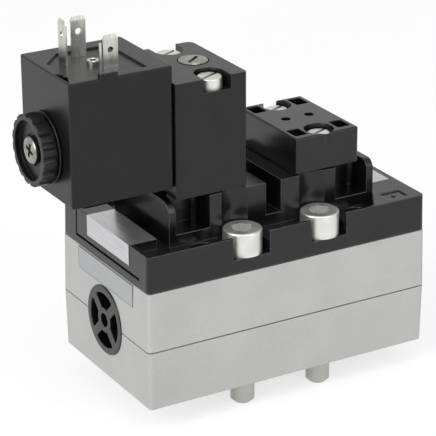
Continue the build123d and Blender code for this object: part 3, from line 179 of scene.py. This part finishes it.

# Top cover, end plugs and blanking plate
# Glass-filled nylon, moulded black: satin faces with a grain of about a third of a
# millimetre, a faint flow pattern in the gloss, and slightly round edges with a painted
# highlight in short stretches. The plate on the second pad has no painted edge highlight, so its edges stay
# black


def paint_edge_highlight(tree, place, edges, colour, highlight_colour):
    """Colour of a moulding, with a painted highlight in short stretches along its outer edges."""
    # Painted highlight: outer edges, found by inside occlusion and by the bevelled normal, are lightened in
    # short stretches
    reach = 0.0006
    inside = add_node(tree, "ShaderNodeAmbientOcclusion", {"Distance": reach}, samples=6, inside=True,
                      only_local=True)
    outer = add_node(tree, "ShaderNodeMapRange", {
        "Value": inside.outputs["AO"], "From Min": 0.85, "From Max": 0.55, "To Min": 0.0, "To Max": 1.0})
    face = add_node(tree, "ShaderNodeNewGeometry")
    lean = add_node(tree, "ShaderNodeVectorMath", {0: edges.outputs["Normal"], 1: face.outputs["Normal"]},
                    operation="DOT_PRODUCT")
    near = add_node(tree, "ShaderNodeMapRange", {
        "Value": lean.outputs["Value"], "From Min": 0.99, "From Max": 0.9, "To Min": 0.0, "To Max": 1.0})
    stretch = add_node(tree, "ShaderNodeTexNoise", {"Vector": place, "Scale": 1000 / 1.5, "Detail": 2})
    highlight_breaks = add_node(tree, "ShaderNodeMapRange", {
        "Value": stretch.outputs["Fac"], "From Min": 0.4, "From Max": 0.6, "To Min": 0.35, "To Max": 1.0})
    share = highlight_breaks.outputs["Result"]
    for part in (outer, near):
        share = add_node(tree, "ShaderNodeMath", {0: share, 1: part.outputs["Result"]},
                         operation="MULTIPLY").outputs[0]
    return add_node(tree, "ShaderNodeMix", {"Factor": share, 6: colour, 7: linear(highlight_colour)},
                    data_type="RGBA").outputs[2]


nylon, tree, shader, place = new_finish("glass_filled_nylon_black", Specular_IOR_Level=0.42)
edges = add_node(tree, "ShaderNodeBevel", {"Radius": 0.0006}, samples=6)
flow = add_node(tree, "ShaderNodeTexNoise", {"Vector": place, "Scale": 1000 / 14, "Detail": 3})
base = add_node(tree, "ShaderNodeValToRGB", {"Fac": flow.outputs["Fac"]},
                [(0.35, "#0D0D0E"), (0.65, "#121213")])
# Painted highlight along the outer edges, in #5A5A5C
tree.links.new(paint_edge_highlight(tree, place, edges, base.outputs["Color"], "#5A5A5C"), shader.inputs["Base Color"])
gloss = add_node(tree, "ShaderNodeMapRange", {
    "Value": flow.outputs["Fac"], "From Min": 0.3, "From Max": 0.7, "To Min": 0.2, "To Max": 0.26})
tree.links.new(gloss.outputs["Result"], shader.inputs["Roughness"])
grain = add_node(tree, "ShaderNodeTexNoise", {"Vector": place, "Scale": 1000 / 0.35, "Roughness": 0.6})
relief = add_node(tree, "ShaderNodeBump", {
    "Height": grain.outputs["Fac"], "Distance": 0.000005, "Strength": 0.5, "Normal": edges.outputs["Normal"]})
tree.links.new(relief.outputs["Normal"], shader.inputs["Normal"])
dress(nylon, "top_cover", "end_plug_left", "end_plug_right")

# The blanking plate takes the same nylon without the painted edge highlight
nylon_without_edge_highlight = nylon.copy()
nylon_without_edge_highlight.name = "glass_filled_nylon_black_without_edge_highlight"
nylon_without_edge_highlight.node_tree.links.new(nylon_without_edge_highlight.node_tree.nodes[base.name].outputs["Color"],
                           nylon_without_edge_highlight.node_tree.nodes[shader.name].inputs["Base Color"])
dress(nylon_without_edge_highlight, "blanking_plate")

# Cover screws, mounting screws, and the screws of the pilot block and the blanking plate
# Steel with bright zinc plating: clear metal, slightly uneven in gloss where the
# bath left it thicker. The ends under the casting are painted darker, as shade from the body above
zinc, tree, shader, place = new_finish("bright_zinc_plate", Metallic=1.0)
bath = add_node(tree, "ShaderNodeTexNoise", {"Vector": place, "Scale": 1000 / 5, "Detail": 2})
base = add_node(tree, "ShaderNodeValToRGB", {"Fac": bath.outputs["Fac"]},
                [(0.35, "#D8D8D4"), (0.65, "#E6E6E2")])
split = add_node(tree, "ShaderNodeSeparateXYZ", {"Vector": place})
# Painted shade: the screw ends below the casting take the darker colour #B2B2AC
painted_shade_top = -0.0003
thread = add_node(tree, "ShaderNodeMath", {0: split.outputs["Z"], 1: painted_shade_top}, operation="LESS_THAN")
mixed = add_node(tree, "ShaderNodeMix", {
    "Factor": thread.outputs[0], 6: base.outputs["Color"], 7: linear("#B2B2AC")}, data_type="RGBA")
tree.links.new(mixed.outputs[2], shader.inputs["Base Color"])
gloss = add_node(tree, "ShaderNodeMapRange", {
    "Value": bath.outputs["Fac"], "From Min": 0.3, "From Max": 0.7, "To Min": 0.42, "To Max": 0.5})
tree.links.new(gloss.outputs["Result"], shader.inputs["Roughness"])
marks = add_node(tree, "ShaderNodeTexNoise", {"Vector": place, "Scale": 1000 / 0.3})
relief = add_node(tree, "ShaderNodeBump", {
    "Height": marks.outputs["Fac"], "Distance": 0.000006, "Strength": 0.4})
tree.links.new(relief.outputs["Normal"], shader.inputs["Normal"])
dress(zinc, "mounting_screws", "cover_screws", "pilot_screws", "blank_screws")

# Pilot block
# Polyester moulding, black: smoother and less glossy than the cover, with a finer grain
# and sharper edges, with a painted highlight in short stretches along them
polyester, tree, shader, place = new_finish("polyester_moulding_black", Specular_IOR_Level=0.34)
edges = add_node(tree, "ShaderNodeBevel", {"Radius": 0.0003}, samples=6)
flow = add_node(tree, "ShaderNodeTexNoise", {"Vector": place, "Scale": 1000 / 10, "Detail": 3})
base = add_node(tree, "ShaderNodeValToRGB", {"Fac": flow.outputs["Fac"]},
                [(0.35, "#0F0F10"), (0.65, "#141415")])
# Painted highlight along the outer edges, in #48484A
tree.links.new(paint_edge_highlight(tree, place, edges, base.outputs["Color"], "#48484A"), shader.inputs["Base Color"])
gloss = add_node(tree, "ShaderNodeMapRange", {
    "Value": flow.outputs["Fac"], "From Min": 0.3, "From Max": 0.7, "To Min": 0.26, "To Max": 0.32})
tree.links.new(gloss.outputs["Result"], shader.inputs["Roughness"])
grain = add_node(tree, "ShaderNodeTexNoise", {"Vector": place, "Scale": 1000 / 0.25})
relief = add_node(tree, "ShaderNodeBump", {
    "Height": grain.outputs["Fac"], "Distance": 0.000005, "Strength": 0.5, "Normal": edges.outputs["Normal"]})
tree.links.new(relief.outputs["Normal"], shader.inputs["Normal"])
dress(polyester, "pilot_body")

# Manual override, armature tube, core, armature and push pin
# Turned stainless steel: grey metal with small handling stains and fine tool marks
stainless, tree, shader, place = new_finish("turned_stainless_steel", Metallic=1.0, Roughness=0.3)
stain = add_node(tree, "ShaderNodeTexNoise", {"Vector": place, "Scale": 1000 / 2, "Detail": 3})
base = add_node(tree, "ShaderNodeValToRGB", {"Fac": stain.outputs["Fac"]},
                [(0.35, "#7E7E7A"), (0.65, "#A6A6A2")])
tree.links.new(base.outputs["Color"], shader.inputs["Base Color"])
marks = add_node(tree, "ShaderNodeTexNoise", {"Vector": place, "Scale": 1000 / 0.25})
relief = add_node(tree, "ShaderNodeBump", {
    "Height": marks.outputs["Fac"], "Distance": 0.00001, "Strength": 0.5})
tree.links.new(relief.outputs["Normal"], shader.inputs["Normal"])
dress(stainless, "manual_override", "armature_tube", "fixed_core", "armature", "push_pin")

# Valve seat
# Turned brass nozzle: warm yellow metal with small stains
brass, tree, shader, place = new_finish("turned_brass", Metallic=1.0, Roughness=0.3)
stain = add_node(tree, "ShaderNodeTexNoise", {"Vector": place, "Scale": 1000 / 2, "Detail": 3})
base = add_node(tree, "ShaderNodeValToRGB", {"Fac": stain.outputs["Fac"]},
                [(0.35, "#A98A45"), (0.65, "#C2A25A")])
tree.links.new(base.outputs["Color"], shader.inputs["Base Color"])
dress(brass, "valve_seat")

# Magnet yoke
# Bent from rolled steel sheet: dark grey, streaked along the rolling direction
rolled, tree, shader, place = new_finish("rolled_yoke_steel", Metallic=1.0, Roughness=0.42)
along = add_node(tree, "ShaderNodeMapping", {"Vector": place, "Scale": (0.1, 1, 1)})
streak = add_node(tree, "ShaderNodeTexNoise", {
    "Vector": along.outputs["Vector"], "Scale": 1000 / 1, "Detail": 3})
base = add_node(tree, "ShaderNodeValToRGB", {"Fac": streak.outputs["Fac"]},
                [(0.35, "#6A6A68"), (0.65, "#82827F")])
tree.links.new(base.outputs["Color"], shader.inputs["Base Color"])
dress(rolled, "magnet_yoke")

# Winding on its bobbin
# Enamelled copper wire wound on a bobbin, under clear tape: brown, with bands drawn
# much coarser than the turns, about 4 mm apart, so that they show
copper, tree, shader, place = new_finish("enamelled_copper_winding", Metallic=0.8, Roughness=0.35)
turns = add_node(tree, "ShaderNodeTexWave", {"Vector": place, "Scale": 1000 / 12, "Distortion": 0.2},
                 wave_type="BANDS", bands_direction="X")
base = add_node(tree, "ShaderNodeValToRGB", {"Fac": turns.outputs["Fac"]},
                [(0.0, "#6E3516"), (1.0, "#A05A2C")])
tree.links.new(base.outputs["Color"], shader.inputs["Base Color"])
relief = add_node(tree, "ShaderNodeBump", {
    "Height": turns.outputs["Fac"], "Distance": 0.0001, "Strength": 0.5})
tree.links.new(relief.outputs["Normal"], shader.inputs["Normal"])
dress(copper, "coil_winding")

# Coil body and coil nut
# Epoxy overmoulding, black: the darkest and most even of the plastics, with a fine
# matt grain and slightly round edges, with a painted highlight in short stretches along them
epoxy, tree, shader, place = new_finish("epoxy_overmoulding_black", Roughness=0.34, Specular_IOR_Level=0.3)
edges = add_node(tree, "ShaderNodeBevel", {"Radius": 0.0006}, samples=6)
flow = add_node(tree, "ShaderNodeTexNoise", {"Vector": place, "Scale": 1000 / 16, "Detail": 3})
base = add_node(tree, "ShaderNodeValToRGB", {"Fac": flow.outputs["Fac"]},
                [(0.35, "#0E0E0F"), (0.65, "#131314")])
# Painted highlight along the outer edges, in #48484A
tree.links.new(paint_edge_highlight(tree, place, edges, base.outputs["Color"], "#48484A"), shader.inputs["Base Color"])
grain = add_node(tree, "ShaderNodeTexNoise", {"Vector": place, "Scale": 1000 / 0.3})
relief = add_node(tree, "ShaderNodeBump", {
    "Height": grain.outputs["Fac"], "Distance": 0.00001, "Strength": 0.5, "Normal": edges.outputs["Normal"]})
tree.links.new(relief.outputs["Normal"], shader.inputs["Normal"])
dress(epoxy, "coil_body", "coil_nut")

# Contact blades and thread insert
# Stamped brass sheet, tinned: pale metal with soft streaks along each blade
tinned, tree, shader, place = new_finish("tinned_brass_sheet", Metallic=1.0, Roughness=0.3)
along = add_node(tree, "ShaderNodeMapping", {"Vector": place, "Scale": (1, 1, 0.12)})
streak = add_node(tree, "ShaderNodeTexNoise", {
    "Vector": along.outputs["Vector"], "Scale": 1000 / 0.8, "Detail": 2})
base = add_node(tree, "ShaderNodeValToRGB", {"Fac": streak.outputs["Fac"]},
                [(0.35, "#BDBDB9"), (0.65, "#D6D6D2")])
tree.links.new(base.outputs["Color"], shader.inputs["Base Color"])
relief = add_node(tree, "ShaderNodeBump", {
    "Height": streak.outputs["Fac"], "Distance": 0.00001, "Strength": 0.4})
tree.links.new(relief.outputs["Normal"], shader.inputs["Normal"])
dress(tinned, "front_blade", "rear_blade", "earth_blade", "thread_insert")

# Labels on the cover
# Metallised polyester film, bare: glossy enough to mirror the coil above it softly,
# with a faint streak from the coating
film, tree, shader, place = new_finish("metallised_polyester_film", Metallic=0.85, Roughness=0.24)
along = add_node(tree, "ShaderNodeMapping", {"Vector": place, "Scale": (1, 0.05, 1)})
streak = add_node(tree, "ShaderNodeTexNoise", {"Vector": along.outputs["Vector"], "Scale": 1000 / 0.5})
base = add_node(tree, "ShaderNodeValToRGB", {"Fac": streak.outputs["Fac"]},
                [(0.35, "#BCBCBE"), (0.65, "#C8C8CA")])
tree.links.new(base.outputs["Color"], shader.inputs["Base Color"])
dress(film, "folded_label", "cover_label")

# Label on the left face of the casting
# Aluminium foil, bare: nearly the tone of the casting, with a darker rim about a third of a
# millimetre wide
foil, tree, shader, place = new_finish("brushed_aluminium_foil", Metallic=0.6, Roughness=0.5)
along = add_node(tree, "ShaderNodeMapping", {"Vector": place, "Scale": (1, 0.05, 1)})
streak = add_node(tree, "ShaderNodeTexNoise", {"Vector": along.outputs["Vector"], "Scale": 1000 / 0.4})
base = add_node(tree, "ShaderNodeValToRGB", {"Fac": streak.outputs["Fac"]},
                [(0.35, "#A3A4A5"), (0.65, "#ABACAD")])
low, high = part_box("body_label")
# The rim is drawn darker in #7C7D7E
rim_width = 0.00035
split = add_node(tree, "ShaderNodeSeparateXYZ", {"Vector": place})
rim = []
for axis in (1, 2):
    middle = (low[axis] + high[axis]) / 2
    reach = (high[axis] - low[axis]) / 2 - rim_width
    offset = add_node(tree, "ShaderNodeMath", {0: split.outputs[axis], 1: middle}, operation="SUBTRACT")
    distance = add_node(tree, "ShaderNodeMath", {0: offset.outputs[0]}, operation="ABSOLUTE")
    rim.append(add_node(tree, "ShaderNodeMath", {
        0: distance.outputs[0], 1: reach}, operation="GREATER_THAN"))
edge = add_node(tree, "ShaderNodeMath", {0: rim[0].outputs[0], 1: rim[1].outputs[0]}, operation="MAXIMUM")
mixed = add_node(tree, "ShaderNodeMix", {
    "Factor": edge.outputs[0], 6: base.outputs["Color"], 7: linear("#7C7D7E")}, data_type="RGBA")
tree.links.new(mixed.outputs[2], shader.inputs["Base Color"])
dress(foil, "body_label")

# Floor
# A sheet of white studio paper under the screw ends. The camera and bright metal see
# it nearly white, and it keeps a weak shadow
floor_reach, floor_height = 3, cad_box[0][2]
corners = [(x * floor_reach, y * floor_reach, floor_height) for x, y in ((-1, -1), (1, -1), (1, 1), (-1, 1))]
mesh = bpy.data.meshes.new("studio_floor")
mesh.from_pydata(corners, [], [(0, 1, 2, 3)])
floor = bpy.data.objects.new("studio_floor", mesh)
bpy.context.scene.collection.objects.link(floor)
paper, tree, shader, place = new_finish("matt_studio_paper", Roughness=0.9)
fibre = add_node(tree, "ShaderNodeTexNoise", {"Vector": place, "Scale": 1000 / 200})
base = add_node(tree, "ShaderNodeValToRGB", {"Fac": fibre.outputs["Fac"]},
                [(0.35, "#F4F4F4"), (0.65, "#F8F8F8")])
tree.links.new(base.outputs["Color"], shader.inputs["Base Color"])
ray = add_node(tree, "ShaderNodeLightPath")
seen = add_node(tree, "ShaderNodeMath", {0: ray.outputs["Is Camera Ray"], 1: ray.outputs["Is Glossy Ray"]},
                operation="MAXIMUM")
plain_white = 0.7
share = add_node(tree, "ShaderNodeMath", {0: seen.outputs[0], 1: plain_white}, operation="MULTIPLY")
white = add_node(tree, "ShaderNodeEmission", {"Color": (1, 1, 1, 1), "Strength": 1.0})
both = add_node(tree, "ShaderNodeMixShader", {
    0: share.outputs[0], 1: shader.outputs[0], 2: white.outputs[0]})
tree.links.new(both.outputs[0], tree.nodes["Material Output"].inputs["Surface"])
mesh.materials.append(paper)

# Light
# A white room, a large soft key from the left, a soft light from behind that shines
# along the top faces, a weak fill from the front, and a small softbox overhead
world = bpy.data.worlds.new("white_room")
bpy.context.scene.world = world
world.use_nodes = True
world.node_tree.nodes["Background"].inputs["Color"].default_value = (1, 1, 1, 1)
world.node_tree.nodes["Background"].inputs["Strength"].default_value = 0.7
middle_of_valve = Vector((-0.02, 0, 0.06))
for name, spot, size, power in (
    ("key_softbox", (-1.0, -0.35, 0.7), 0.7, 9.0),
    ("back_softbox", (0.5, 0.9, 0.6), 1.2, 0.8),
    ("front_fill", (0.3, -1.0, 0.6), 0.8, 3.8),
    ("overhead_softbox", (-0.1, -0.3, 1.0), 0.3, 1.2),
):
    lamp = bpy.data.lights.new(name, "AREA")
    lamp.size = size
    lamp.energy = power
    light = bpy.data.objects.new(name, lamp)
    light.location = spot
    light.rotation_euler = (middle_of_valve - light.location).to_track_quat("-Z", "Y").to_euler()
    bpy.context.scene.collection.objects.link(light)

# Camera
# Set to the photograph's angle, distance and lens
lens = bpy.data.cameras.new("photo_camera")
lens.lens = 181.87
lens.sensor_width = 36.0
lens.clip_start = 0.05
camera = bpy.data.objects.new("photo_camera", lens)
camera.location = (-0.42658, -0.71678, 0.40090)
camera.rotation_euler = [math.radians(a) for a in (67.5098, 0.2495, -30.1293)]
bpy.context.scene.collection.objects.link(camera)
bpy.context.scene.camera = camera
bpy.context.scene.view_settings.view_transform = "Standard"
